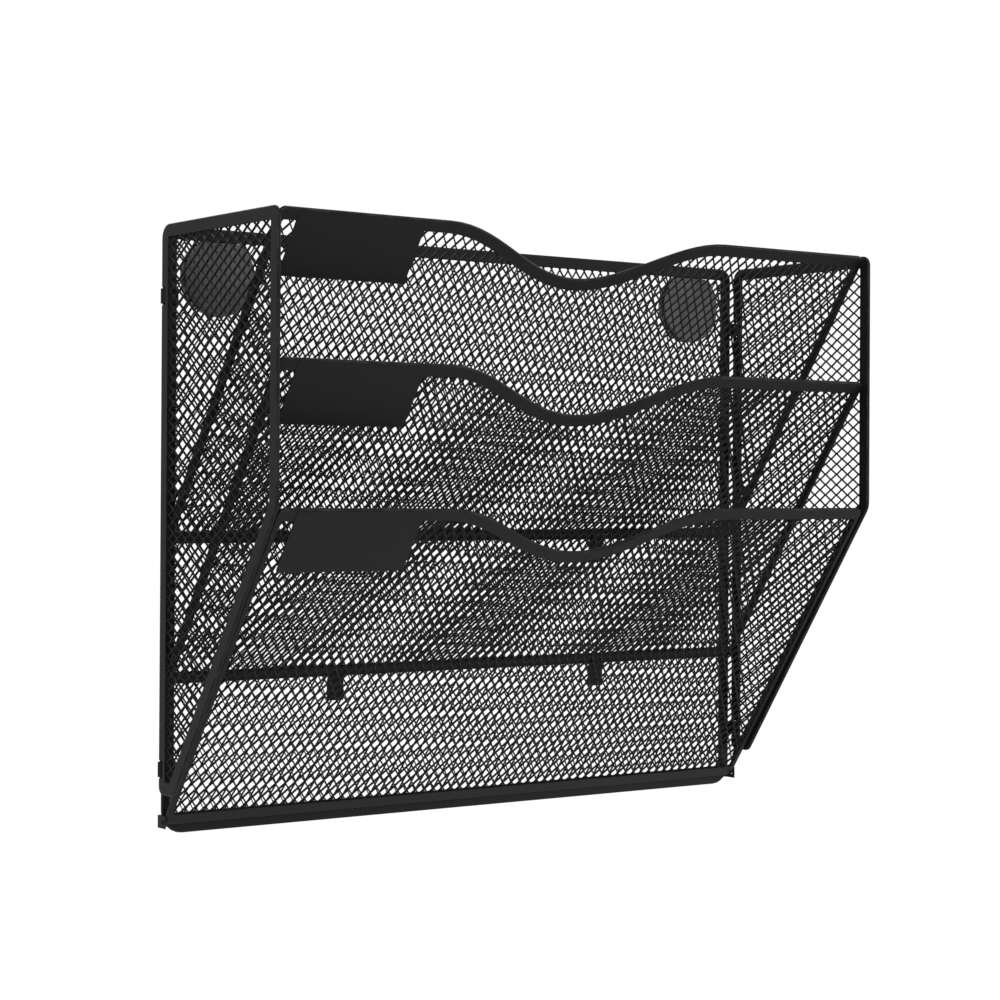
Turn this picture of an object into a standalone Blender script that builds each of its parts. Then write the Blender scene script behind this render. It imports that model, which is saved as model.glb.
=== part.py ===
"""Wall file rack of expanded steel mesh, in metres, +Z up.

A flat back panel hangs on two magnets.  Two side panels are hinged to its upright edges, and
three slanting pocket panels are hinged to it along their bottom rails: the upper two by strap
hinges, the lowest by rod ends that turn in two ears.  Each panel is a flat steel frame around a
sheet of mesh.  Here a mesh sheet is a plain thin plate.

The origin lies on the wall, midway between the magnets.  The wall is the plane Y = 0, the rack
stands in front of it towards -Y, and X runs along the wall.
"""

import math

import bmesh
import bpy
from mathutils import Matrix, Vector

MM = 0.001

# The rack as a whole
RACK_WIDTH = 331.0 * MM
RACK_TOP = 20.7 * MM
TIERS = ("top", "middle", "bottom")
TIER_PITCH = 60.5 * MM
SIDES = {"left": -1, "right": 1}

# Sheet and strip stock
FRAME_WIDTH = 5.6 * MM
FRAME_THICKNESS = 1.8 * MM
MESH_THICKNESS = 0.6 * MM
STRAP_THICKNESS = 0.5 * MM
GAP = 0.3 * MM

# Magnets, from the wall outwards
MAGNET_SPACING = 272.0 * MM
CUP_RADIUS = 17.5 * MM
CUP_WALL = 1.2 * MM
CUP_FLOOR = 0.8 * MM
CUP_LIP_TO_WALL = 0.5 * MM
MAGNET_RADIUS = 15.8 * MM
MAGNET_THICKNESS = 1.2 * MM
PAD_THICKNESS = 0.6 * MM
CAP_RADIUS = 17.5 * MM
CAP_THICKNESS = 0.8 * MM
TURNED_STEPS = 48

# Hinges: a strap curled round a bare rod in the edge of the moving frame
ROD_RADIUS = 0.7 * MM
ROD_SIDES = 16
CURL_RADIUS = 1.25 * MM
CURL_SWEEP = math.radians(275)
CURL_STEPS = 14
NOTCH_CLEARANCE = 0.4 * MM
ROD_GRIP = 1.0 * MM

# Back panel
BACK_WIDTH = 326.0 * MM
BACK_HEIGHT = 262.8 * MM
BACK_TOP_RADIUS = 6.0 * MM
BACK_BOTTOM_RADIUS = 10.0 * MM

# Side panels.  The slanting edge would meet the back edge at SIDE_SLANT_FOOT, but is cut short
SIDE_DEPTH = 96.8 * MM
SIDE_SLANT_FOOT = -243.2 * MM
SIDE_BOTTOM = -224.5 * MM
SIDE_ROD_INSET = 0.9 * MM
SIDE_NOTCH_DEPTH = 3.0 * MM
SIDE_RADIUS = 6.0 * MM
SIDE_ELBOW_RADIUS = 8.0 * MM
SIDE_FRONT_RADIUS = 4.5 * MM
SIDE_TOE_RADIUS = 4.0 * MM
SIDE_HEEL_RADIUS = 3.5 * MM
CLIP_HEIGHT = 6.5 * MM
CLIP_LEAF = 7.6 * MM
CLIP_LEVELS = {"upper": -10.1 * MM, "lower": -213.7 * MM}

# Pocket panels
POCKET_WIDTH = 326.0 * MM
POCKET_HEIGHT = 166.1 * MM
POCKET_TILT = math.radians(34.6)
POCKET_ROD_INSET = 1.2 * MM
POCKET_NOTCH_DEPTH = 3.3 * MM
POCKET_BOTTOM_RADIUS = 4.0 * MM
POCKET_RIM_RADIUS = 3.5 * MM
POCKET_SIDE_WIDTH = 2.6 * MM
DIP_DEPTH = 23.2 * MM
DIP_HALF_WIDTH = 77.0 * MM
DIP_CENTRE = -2.5 * MM
DIP_STEPS = 28
FLANGE_DEPTH = 1.8 * MM
FLANGE_INSET = 0.2 * MM
FLANGE_FOOT = 10.0 * MM
FLANGE_BELOW_RIM = 6.0 * MM
STRAP_WIDTH = 8.8 * MM
STRAP_LEAF = 12.4 * MM
STRAP_SPACING = 150.6 * MM
LEAF_STEP = 0.6 * MM
LEAF_STEP_START = 2.0 * MM
LEAF_STEP_END = 3.5 * MM

# Ears for the lowest pocket: a leaf behind the back frame and a tab beside it, with a hole
EAR_HEIGHT = 5.5 * MM
EAR_LEAF = 9.0 * MM
EAR_BEYOND_AXIS = 2.2 * MM
EAR_HOLE_RADIUS = 1.0 * MM
END_ROD_INSIDE = 5.0 * MM
END_ROD_OUTSIDE = 1.4 * MM

# Label plates, one behind the left end of each pocket's rim
PLATE_LEFT = -154.2 * MM
PLATE_WIDTH = 62.3 * MM
PLATE_BELOW_RIM = 31.2 * MM
PLATE_THICKNESS = 0.5 * MM
PLATE_RADIUS = 1.5 * MM

ARC_STEP = math.radians(15)
SMOOTH_ANGLE = math.radians(40)
LEAST_RADIUS = 1.0 * MM
WELD = 0.00001

# Planes and axes worked out from the sizes above
HALF_FRAME = FRAME_THICKNESS / 2
BACK_REAR = -(PAD_THICKNESS + MAGNET_THICKNESS + CUP_FLOOR + 3 * GAP)
BACK_MIDDLE = BACK_REAR - HALF_FRAME
HINGE_Y = BACK_MIDDLE - HALF_FRAME - GAP - CURL_RADIUS - STRAP_THICKNESS / 2
SIDE_BACK_EDGE = HINGE_Y + SIDE_ROD_INSET
SIDE_FRONT_EDGE = SIDE_BACK_EDGE - SIDE_DEPTH
SIDE_MIDDLE = RACK_WIDTH / 2 - HALF_FRAME
ELBOW = RACK_TOP - (len(TIERS) - 1) * TIER_PITCH
POCKET_RISE = POCKET_HEIGHT - POCKET_ROD_INSET
CAP_REAR = -BACK_MIDDLE + MESH_THICKNESS / 2 + GAP
EAR_X = BACK_WIDTH / 2 + GAP + STRAP_THICKNESS / 2
EAR_LEAF_Y = BACK_REAR + GAP + STRAP_THICKNESS / 2

# Panel directions: a flat outline is drawn in x and y and has its thickness along z
UPRIGHT = Matrix(((1, 0, 0, 0), (0, 0, -1, 0), (0, 1, 0, 0), (0, 0, 0, 1)))
SIDEWAYS = Matrix(((0, 0, 1, 0), (1, 0, 0, 0), (0, 1, 0, 0), (0, 0, 0, 1)))
LYING = Matrix.Rotation(math.pi / 2, 4, "Y")


def clear_scene():
    for item in list(bpy.data.objects):
        bpy.data.objects.remove(item, do_unlink=True)


def new_collection(name):
    collection = bpy.data.collections.new(name)
    bpy.context.scene.collection.children.link(collection)
    return collection


def new_material(name, colour, metallic, roughness):
    material = bpy.data.materials.new(name)
    material.use_nodes = True
    shader = material.node_tree.nodes["Principled BSDF"]
    shader.inputs["Base Color"].default_value = (*colour, 1)
    shader.inputs["Metallic"].default_value = metallic
    shader.inputs["Roughness"].default_value = roughness
    return material


def add_mesh(name, mesh, material, collection, parent=None):
    item = bpy.data.objects.new(name, mesh)
    collection.objects.link(item)
    item.parent = parent
    mesh.materials.clear()
    mesh.materials.append(material)
    return item


def round_corners(corners):
    """Outline points of a polygon whose corners are (x, y, radius)."""
    points = []
    for index, (x, y, radius) in enumerate(corners):
        here = Vector((x, y))
        before = Vector(corners[index - 1][:2]) - here
        after = Vector(corners[(index + 1) % len(corners)][:2]) - here
        if radius == 0:
            points.append(here)
            continue
        half_angle = before.angle(after) / 2
        bisector = (before.normalized() + after.normalized()).normalized()
        centre = here + bisector * radius / math.sin(half_angle)
        start = here + before.normalized() * radius / math.tan(half_angle) - centre
        turn = math.pi - 2 * half_angle
        if before.x * after.y - before.y * after.x > 0:
            turn = -turn
        steps = max(2, round(abs(turn) / ARC_STEP))
        for step in range(steps + 1):
            angle = turn * step / steps
            points.append(centre + Matrix.Rotation(angle, 2) @ start)
    return points


def inset_corners(corners, distance):
    """The same convex polygon, anticlockwise, moved in by a distance on every edge."""
    moved = []
    for index, (x, y, radius) in enumerate(corners):
        here = Vector((x, y))
        along_in = (here - Vector(corners[index - 1][:2])).normalized()
        along_out = (Vector(corners[(index + 1) % len(corners)][:2]) - here).normalized()
        normal_in = Vector((-along_in.y, along_in.x))
        normal_out = Vector((-along_out.y, along_out.x))
        shift = (normal_in + normal_out) * distance / (1 + normal_in.dot(normal_out))
        moved.append((x + shift.x, y + shift.y, max(radius - distance, LEAST_RADIUS)))
    return moved


def flat_sheet(loops, thickness, turn):
    """Mesh of a flat plate: the first loop is its outline, the others are openings."""
    curve = bpy.data.curves.new("outline", "CURVE")
    curve.dimensions = "2D"
    curve.fill_mode = "BOTH"
    curve.extrude = thickness / 2
    for loop in loops:
        spline = curve.splines.new("POLY")
        spline.points.add(len(loop) - 1)
        for place, point in zip(spline.points, loop):
            place.co = (point.x, point.y, 0, 1)
        spline.use_cyclic_u = True
    drawn = bpy.data.objects.new("outline", curve)
    bpy.context.scene.collection.objects.link(drawn)
    graph = bpy.context.evaluated_depsgraph_get()
    mesh = bpy.data.meshes.new_from_object(drawn.evaluated_get(graph))
    bpy.data.objects.remove(drawn, do_unlink=True)
    bpy.data.curves.remove(curve)
    shape = bmesh.new()
    shape.from_mesh(mesh)
    bmesh.ops.remove_doubles(shape, verts=shape.verts, dist=WELD)
    bmesh.ops.recalc_face_normals(shape, faces=shape.faces)
    bmesh.ops.transform(shape, matrix=turn, verts=shape.verts)
    shape.to_mesh(mesh)
    shape.free()
    return mesh


def box_group(name, boxes, collection, parent):
    """Cutter made of boxes, each a low corner and a high corner."""
    shape = bmesh.new()
    for low, high in boxes:
        size = Vector(high) - Vector(low)
        place = Matrix.Translation((Vector(low) + Vector(high)) / 2) @ Matrix.Diagonal((*size, 1))
        bmesh.ops.create_cube(shape, size=1, matrix=place)
    return add_guide(name, shape, collection, parent)


def rod_group(name, rods, radius, length, turn, collection, parent):
    """Rods of one size at several centres, to be joined or cut away."""
    shape = bmesh.new()
    for centre in rods:
        bmesh.ops.create_cone(
            shape, cap_ends=True, segments=ROD_SIDES, radius1=radius, radius2=radius,
            depth=length, matrix=Matrix.Translation(centre) @ turn)
    return add_guide(name, shape, collection, parent)


def add_guide(name, shape, collection, parent):
    mesh = bpy.data.meshes.new(name)
    shape.to_mesh(mesh)
    shape.free()
    item = bpy.data.objects.new(name, mesh)
    collection.objects.link(item)
    item.parent = parent
    item.hide_render = True
    item.display_type = "WIRE"
    return item


def combine(item, name, operation, other):
    step = item.modifiers.new(name, "BOOLEAN")
    step.operation = operation
    step.solver = "EXACT"
    step.object = other


def bent_strip(name, path, across, width, material, collection, parent=None):
    """Strip of sheet bent along a path, as wide as given along the across direction."""
    shape = bmesh.new()
    half = Vector(across) * width / 2
    rows = []
    for point in path:
        rows.append((shape.verts.new(point - half), shape.verts.new(point + half)))
    for row, following in zip(rows, rows[1:]):
        shape.faces.new((row[0], row[1], following[1], following[0]))
    mesh = bpy.data.meshes.new(name)
    shape.to_mesh(mesh)
    shape.free()
    item = add_mesh(name, mesh, material, collection, parent)
    wall = item.modifiers.new("sheet", "SOLIDIFY")
    wall.thickness = STRAP_THICKNESS
    wall.offset = 0
    wall.use_even_offset = True
    item.data.shade_smooth()
    item.data.set_sharp_from_angle(angle=SMOOTH_ANGLE)
    return item


def hinge_path(centre, along, leaf, step):
    """Path of a strap: its leaf, a shallow step if any, then a curl round the rod at centre."""
    rear = Vector((0, 1, 0))
    along = Vector(along)
    path = [centre - along * leaf + rear * (CURL_RADIUS + step)]
    if step:
        path.append(centre - along * LEAF_STEP_END + rear * (CURL_RADIUS + step))
        path.append(centre - along * LEAF_STEP_START + rear * CURL_RADIUS)
    for index in range(CURL_STEPS + 1):
        angle = CURL_SWEEP * index / CURL_STEPS
        path.append(centre + (along * math.sin(angle) + rear * math.cos(angle)) * CURL_RADIUS)
    return path


def turned_piece(name, profile, centre, material, collection):
    """Turned piece whose profile is (radius, distance in front of centre)."""
    mesh = bpy.data.meshes.new(name)
    points = [(radius, 0, front) for radius, front in profile]
    mesh.from_pydata(points, [(i, i + 1) for i in range(len(points) - 1)], [])
    item = add_mesh(name, mesh, material, collection)
    item.matrix_world = Matrix.Translation(centre) @ UPRIGHT
    turn = item.modifiers.new("turn", "SCREW")
    turn.axis = "Z"
    turn.steps = TURNED_STEPS
    turn.render_steps = TURNED_STEPS
    turn.use_merge_vertices = True
    turn.merge_threshold = WELD
    turn.use_smooth_shade = False
    return item


def disc_profile(radius, rear, front):
    return ((0, front), (radius, front), (radius, rear), (0, rear))


def build_magnet(side, across, steel, ceramic, rubber, parts, cutters):
    """A shallow steel cup behind the mesh with its magnet and pad, and a cap in front of it.

    The cap's top is cut flat, so that it fits below the back frame.
    """
    centre = Vector((across * MAGNET_SPACING / 2, 0, 0))
    magnet_rear = PAD_THICKNESS + GAP
    magnet_front = magnet_rear + MAGNET_THICKNESS
    floor = magnet_front + GAP
    cup_front = floor + CUP_FLOOR
    inner = CUP_RADIUS - CUP_WALL
    cup = ((0, cup_front), (CUP_RADIUS, cup_front), (CUP_RADIUS, CUP_LIP_TO_WALL),
           (inner, CUP_LIP_TO_WALL), (inner, floor), (0, floor))
    turned_piece(f"magnet_cup_{side}", cup, centre, steel, parts)
    magnet = disc_profile(MAGNET_RADIUS, magnet_rear, magnet_front)
    turned_piece(f"magnet_{side}", magnet, centre, ceramic, parts)
    pad = disc_profile(MAGNET_RADIUS, 0, PAD_THICKNESS)
    turned_piece(f"magnet_pad_{side}", pad, centre, rubber, parts)
    cap = disc_profile(CAP_RADIUS, CAP_REAR, CAP_REAR + CAP_THICKNESS)
    disc = turned_piece(f"magnet_cap_{side}", cap, centre, steel, parts)
    cut = RACK_TOP - FRAME_WIDTH - GAP
    low = (centre.x - CAP_RADIUS, -CUP_RADIUS, cut)
    high = (centre.x + CAP_RADIUS, 0, cut + CAP_RADIUS)
    combine(disc, "flat top", "DIFFERENCE",
            box_group(f"magnet_cap_{side}_cut", [(low, high)], cutters, None))


def build_back(coat, mesh_coat, parts):
    half = BACK_WIDTH / 2
    bottom = RACK_TOP - BACK_HEIGHT
    corners = [(-half, bottom, BACK_BOTTOM_RADIUS), (half, bottom, BACK_BOTTOM_RADIUS),
               (half, RACK_TOP, BACK_TOP_RADIUS), (-half, RACK_TOP, BACK_TOP_RADIUS)]
    place = Matrix.Translation((0, BACK_MIDDLE, 0)) @ UPRIGHT
    inner = inset_corners(corners, FRAME_WIDTH)
    ring = flat_sheet([round_corners(corners), round_corners(inner)], FRAME_THICKNESS, place)
    add_mesh("back_frame", ring, coat, parts)
    sheet = round_corners(inset_corners(corners, FRAME_WIDTH + GAP))
    add_mesh("back_mesh", flat_sheet([sheet], MESH_THICKNESS, place), mesh_coat, parts)


def build_side(side, across, coat, mesh_coat, parts, cutters):
    """A side panel on an upright hinge axis."""
    hinge = bpy.data.objects.new(f"side_{side}_axis", None)
    hinge.location = (across * SIDE_MIDDLE, HINGE_Y, 0)
    parts.objects.link(hinge)
    back = SIDE_ROD_INSET
    front = back - SIDE_DEPTH
    toe = back - SIDE_DEPTH * (SIDE_BOTTOM - SIDE_SLANT_FOOT) / (ELBOW - SIDE_SLANT_FOOT)
    corners = [(front, ELBOW, SIDE_ELBOW_RADIUS), (toe, SIDE_BOTTOM, SIDE_TOE_RADIUS),
               (back, SIDE_BOTTOM, SIDE_HEEL_RADIUS), (back, RACK_TOP, SIDE_RADIUS),
               (front, RACK_TOP, SIDE_FRONT_RADIUS)]
    inner = inset_corners(corners, FRAME_WIDTH)
    ring = flat_sheet([round_corners(corners), round_corners(inner)], FRAME_THICKNESS, SIDEWAYS)
    frame = add_mesh(f"side_{side}_frame", ring, coat, parts, hinge)
    reach = CLIP_HEIGHT / 2 + NOTCH_CLEARANCE
    notches = []
    for level in CLIP_LEVELS.values():
        low = (-FRAME_THICKNESS, back - SIDE_NOTCH_DEPTH, level - reach)
        high = (FRAME_THICKNESS, back + SIDE_NOTCH_DEPTH, level + reach)
        notches.append((low, high))
    rods = [Vector((0, 0, level)) for level in CLIP_LEVELS.values()]
    combine(frame, "hinge notches", "DIFFERENCE",
            box_group(f"side_{side}_notches", notches, cutters, hinge))
    length = 2 * (reach + ROD_GRIP)
    joined = rod_group(f"side_{side}_rods", rods, ROD_RADIUS, length, Matrix(), cutters, hinge)
    combine(frame, "hinge rods", "UNION", joined)
    sheet = round_corners(inset_corners(corners, FRAME_WIDTH + GAP))
    plate = flat_sheet([sheet], MESH_THICKNESS, SIDEWAYS)
    add_mesh(f"side_{side}_mesh", plate, mesh_coat, parts, hinge)


def build_clips(side, across, coat, parts):
    """The two clips that hold a side panel's rods, welded to the back frame."""
    for name, level in CLIP_LEVELS.items():
        centre = Vector((across * SIDE_MIDDLE, HINGE_Y, level))
        path = hinge_path(centre, (across, 0, 0), CLIP_LEAF, 0)
        bent_strip(f"hinge_clip_{side}_{name}", path, (0, 0, 1), CLIP_HEIGHT, coat, parts)


def rim_points(depth):
    """The dipping part of a pocket's rim, right to left, moved in by a depth."""
    points = []
    for step in range(DIP_STEPS + 1):
        phase = math.pi * (1 - 2 * step / DIP_STEPS)
        drop = DIP_DEPTH * (1 + math.cos(phase)) / 2
        slope = DIP_DEPTH * math.pi * math.sin(phase) / (2 * DIP_HALF_WIDTH)
        inward = Vector((slope, -1)).normalized() * depth
        x = DIP_CENTRE + DIP_HALF_WIDTH * phase / math.pi
        points.append((x + inward.x, POCKET_RISE - drop + inward.y, 0))
    return points


def pocket_outline(depth, side_depth):
    """Outline of a pocket panel moved in by two depths, its hinge axis along y = 0."""
    half = POCKET_WIDTH / 2 - side_depth
    bottom = depth - POCKET_ROD_INSET
    top = POCKET_RISE - depth
    low_radius = max(POCKET_BOTTOM_RADIUS - depth, LEAST_RADIUS)
    rim_radius = max(POCKET_RIM_RADIUS - depth, LEAST_RADIUS)
    corners = [(-half, bottom, low_radius), (half, bottom, low_radius), (half, top, rim_radius)]
    corners += rim_points(depth)
    corners.append((-half, top, rim_radius))
    return round_corners(corners)


def pocket_axis(index):
    """Height of a pocket's hinge axis: its rim's rear edge is level with its tier."""
    rise = POCKET_RISE * math.cos(POCKET_TILT) + HALF_FRAME * math.sin(POCKET_TILT)
    return RACK_TOP - index * TIER_PITCH - rise


def join_strap_rods(frame, tier, cutters, hinge):
    """Notch the bottom rail at its two straps and leave a bare rod across each notch."""
    reach = STRAP_WIDTH / 2 + NOTCH_CLEARANCE
    notch_top = POCKET_NOTCH_DEPTH - POCKET_ROD_INSET
    notches = []
    rods = []
    for across in SIDES.values():
        x = across * STRAP_SPACING / 2
        low = (x - reach, -FRAME_THICKNESS, -POCKET_NOTCH_DEPTH)
        high = (x + reach, FRAME_THICKNESS, notch_top)
        notches.append((low, high))
        rods.append(Vector((x, 0, 0)))
    combine(frame, "hinge notches", "DIFFERENCE",
            box_group(f"pocket_{tier}_notches", notches, cutters, hinge))
    length = 2 * (reach + ROD_GRIP)
    joined = rod_group(f"pocket_{tier}_rods", rods, ROD_RADIUS, length, LYING, cutters, hinge)
    combine(frame, "hinge rods", "UNION", joined)


def join_end_rods(frame, tier, cutters, hinge):
    """Let a rod stand out of each end of the bottom rail."""
    length = END_ROD_INSIDE + END_ROD_OUTSIDE
    x = POCKET_WIDTH / 2 + (END_ROD_OUTSIDE - END_ROD_INSIDE) / 2
    rods = [Vector((across * x, 0, 0)) for across in SIDES.values()]
    joined = rod_group(f"pocket_{tier}_rods", rods, ROD_RADIUS, length, LYING, cutters, hinge)
    combine(frame, "hinge rods", "UNION", joined)


def build_pocket(index, tier, coat, mesh_coat, parts, cutters):
    """A pocket panel, leaning forward from its hinge axis."""
    hinge = bpy.data.objects.new(f"pocket_{tier}_axis", None)
    hinge.location = (0, HINGE_Y, pocket_axis(index))
    hinge.rotation_euler = (POCKET_TILT, 0, 0)
    parts.objects.link(hinge)
    loops = [pocket_outline(0, 0), pocket_outline(FRAME_WIDTH, POCKET_SIDE_WIDTH)]
    ring = flat_sheet(loops, FRAME_THICKNESS, UPRIGHT)
    frame = add_mesh(f"pocket_{tier}_frame", ring, coat, parts, hinge)
    if index == len(TIERS) - 1:
        join_end_rods(frame, tier, cutters, hinge)
    else:
        join_strap_rods(frame, tier, cutters, hinge)
    inner = POCKET_WIDTH / 2 - POCKET_SIDE_WIDTH + FLANGE_INSET
    outer = POCKET_WIDTH / 2 - FLANGE_INSET
    flanges = []
    for near, far in ((inner, outer), (-outer, -inner)):
        low = (near, 0, FLANGE_FOOT)
        high = (far, HALF_FRAME + FLANGE_DEPTH, POCKET_RISE - FLANGE_BELOW_RIM)
        flanges.append((low, high))
    combine(frame, "side flanges", "UNION",
            box_group(f"pocket_{tier}_flanges", flanges, cutters, hinge))
    sheet = pocket_outline(FRAME_WIDTH + GAP, POCKET_SIDE_WIDTH + GAP)
    plate = flat_sheet([sheet], MESH_THICKNESS, UPRIGHT)
    add_mesh(f"pocket_{tier}_mesh", plate, mesh_coat, parts, hinge)
    right = PLATE_LEFT + PLATE_WIDTH
    low = POCKET_RISE - PLATE_BELOW_RIM
    high = POCKET_RISE - FRAME_WIDTH - GAP
    label = round_corners([(PLATE_LEFT, low, PLATE_RADIUS), (right, low, PLATE_RADIUS),
                           (right, high, 0), (PLATE_LEFT, high, 0)])
    front = -(MESH_THICKNESS / 2 + GAP + PLATE_THICKNESS / 2)
    place = Matrix.Translation((0, front, 0)) @ UPRIGHT
    add_mesh(f"label_plate_{tier}", flat_sheet([label], PLATE_THICKNESS, place), coat, parts, hinge)


def build_straps(index, tier, coat, parts):
    """The two strap hinges of a pocket, welded to the back panel's mesh below its axis."""
    for side, across in SIDES.items():
        centre = Vector((across * STRAP_SPACING / 2, HINGE_Y, pocket_axis(index)))
        path = hinge_path(centre, (0, 0, 1), STRAP_LEAF, LEAF_STEP)
        bent_strip(f"strap_{tier}_{side}", path, (1, 0, 0), STRAP_WIDTH, coat, parts)


def build_ears(index, coat, parts, cutters):
    """The two ears in which the lowest pocket's rod ends turn, welded behind the back frame."""
    level = pocket_axis(index)
    for side, across in SIDES.items():
        x = across * EAR_X
        path = [Vector((x - across * EAR_LEAF, EAR_LEAF_Y, level)), Vector((x, EAR_LEAF_Y, level)),
                Vector((x, HINGE_Y - EAR_BEYOND_AXIS, level))]
        ear = bent_strip(f"hinge_ear_{side}", path, (0, 0, 1), EAR_HEIGHT, coat, parts)
        bore = rod_group(f"hinge_ear_{side}_bore", [Vector((x, HINGE_Y, level))],
                         EAR_HOLE_RADIUS, EAR_HEIGHT, LYING, cutters, None)
        combine(ear, "rod hole", "DIFFERENCE", bore)


def main():
    clear_scene()
    parts = new_collection("hanging_file_rack")
    cutters = new_collection("cutters")
    coat = new_material("black_powder_coat", (0.018, 0.018, 0.019), 0.0, 0.42)
    mesh_coat = new_material("black_coated_mesh", (0.03, 0.03, 0.032), 0.0, 0.5)
    steel = new_material("zinc_plated_cup", (0.42, 0.43, 0.45), 1.0, 0.4)
    ceramic = new_material("magnet_ceramic", (0.06, 0.06, 0.065), 0.0, 0.6)
    rubber = new_material("pad_rubber", (0.05, 0.05, 0.05), 0.0, 0.8)
    build_back(coat, mesh_coat, parts)
    for side, across in SIDES.items():
        build_magnet(side, across, steel, ceramic, rubber, parts, cutters)
        build_side(side, across, coat, mesh_coat, parts, cutters)
        build_clips(side, across, coat, parts)
    for index, tier in enumerate(TIERS):
        build_pocket(index, tier, coat, mesh_coat, parts, cutters)
    for index, tier in enumerate(TIERS[:-1]):
        build_straps(index, tier, coat, parts)
    build_ears(len(TIERS) - 1, coat, parts, cutters)


main()
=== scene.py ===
# %% [markdown]
# # A wall file rack of black expanded mesh
#
# The rack has a flat back panel that hangs on two magnets, two hinged side panels and three
# hinged pockets that lean forward.  Every panel is a sheet of diamond mesh held in a folded
# steel hem.  The measured model of the rack is loaded first.  It fixes every size, place and
# moving joint, so this lesson only makes the surfaces that the eye sees.

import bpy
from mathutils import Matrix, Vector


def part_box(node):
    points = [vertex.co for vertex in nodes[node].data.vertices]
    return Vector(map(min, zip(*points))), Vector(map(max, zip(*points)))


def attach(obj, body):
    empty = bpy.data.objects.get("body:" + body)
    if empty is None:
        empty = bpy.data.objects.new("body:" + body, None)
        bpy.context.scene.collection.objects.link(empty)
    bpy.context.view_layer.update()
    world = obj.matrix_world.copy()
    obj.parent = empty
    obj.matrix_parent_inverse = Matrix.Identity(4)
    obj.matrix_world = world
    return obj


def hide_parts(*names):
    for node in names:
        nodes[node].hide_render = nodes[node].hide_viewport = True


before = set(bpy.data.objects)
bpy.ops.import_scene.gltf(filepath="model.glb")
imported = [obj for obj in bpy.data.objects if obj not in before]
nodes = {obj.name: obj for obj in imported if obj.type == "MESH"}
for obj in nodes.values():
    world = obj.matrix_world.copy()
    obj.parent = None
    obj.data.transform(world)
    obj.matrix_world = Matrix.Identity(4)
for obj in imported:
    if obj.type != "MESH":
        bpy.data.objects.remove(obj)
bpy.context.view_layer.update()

# %% [markdown]
# Lengths are in metres, so a named millimetre keeps small sizes readable.  The names of the
# panels are listed once, with the body that each panel moves with, and the loops below use them.

# %% Units, names and tools
import math

import bmesh
import bpy
from mathutils import Matrix, Vector
from mathutils.bvhtree import BVHTree

MM = 0.001
SIDES = ("left", "right")
TIERS = ("top", "middle", "bottom")
PANELS = {"back": "back"}
PANELS.update({f"side_{side}": f"side_{side}" for side in SIDES})
PANELS.update({f"pocket_{tier}": f"pocket_{tier}" for tier in TIERS})
MERGE = 0.002 * MM
scene = bpy.context.scene
print("panels:", ", ".join(PANELS))

# %% [markdown]
# ## Camera
#
# The rack is seen from its left, a little more than a third of the way round, with the lens
# level with its middle.  A long lens keeps the uprights almost parallel.  The camera is turned
# by yaw, pitch and roll, in that order, because those are the angles a photographer sets.

# %% Camera
EYE = Vector((-651.3, -913.4, -92.6)) * MM
YAW = math.radians(36.34)
PITCH = math.radians(0.36)
ROLL = math.radians(0.32)

camera_data = bpy.data.cameras.new("studio_camera")
camera_data.lens = 85.2
camera_data.sensor_width = 36.0
camera_data.shift_y = -0.0253
camera_data.clip_end = 20.0
camera = bpy.data.objects.new("studio_camera", camera_data)
turn = Matrix.Rotation(-YAW, 4, "Z") @ Matrix.Rotation(math.pi / 2 + PITCH, 4, "X")
camera.matrix_world = Matrix.Translation(EYE) @ turn @ Matrix.Rotation(ROLL, 4, "Z")
scene.collection.objects.link(camera)
scene.camera = camera
print("camera at", tuple(round(value, 3) for value in EYE))

# %% [markdown]
# ## Shared surface effects
#
# Powder coat is never one flat colour.  It flows into a faint orange peel, its colour drifts a
# little, it is rubbed where hands touch the edges, and dust settles on whatever faces up.
# Several finishes share these effects, so each is a node group with named inputs, which is
# built once and placed in each material with its own values.  The groups put out only masks
# and heights.  The shader itself stays in the material.

# %% Helper: start a node group
def new_group(name, inputs, outputs):
    """Shader group with float sockets: inputs are (name, default), outputs are names."""
    group = bpy.data.node_groups.new(name, "ShaderNodeTree")
    for label, default in inputs:
        socket = group.interface.new_socket(label, in_out="INPUT", socket_type="NodeSocketFloat")
        socket.default_value = default
    for label in outputs:
        group.interface.new_socket(label, in_out="OUTPUT", socket_type="NodeSocketFloat")
    start = group.nodes.new("NodeGroupInput")
    end = group.nodes.new("NodeGroupOutput")
    return group, start, end


def noise(tree, coordinates, scale, detail=2.0):
    texture = tree.nodes.new("ShaderNodeTexNoise")
    texture.inputs["Detail"].default_value = detail
    tree.links.new(coordinates, texture.inputs["Vector"])
    if isinstance(scale, bpy.types.NodeSocket):
        tree.links.new(scale, texture.inputs["Scale"])
    else:
        texture.inputs["Scale"].default_value = scale
    return texture.outputs["Fac"]


def remap(tree, value, low, high, to_low=0.0, to_high=1.0):
    node = tree.nodes.new("ShaderNodeMapRange")
    node.inputs["From Min"].default_value = low
    node.inputs["From Max"].default_value = high
    node.inputs["To Min"].default_value = to_low
    node.inputs["To Max"].default_value = to_high
    tree.links.new(value, node.inputs["Value"])
    return node.outputs["Result"]


def calculate(tree, operation, first, second=0.0):
    """The result of a Math node on two sockets or numbers."""
    node = tree.nodes.new("ShaderNodeMath")
    node.operation = operation
    for socket, value in zip(node.inputs, (first, second)):
        if isinstance(value, bpy.types.NodeSocket):
            tree.links.new(value, socket)
        else:
            socket.default_value = value
    return node.outputs["Value"]


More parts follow.
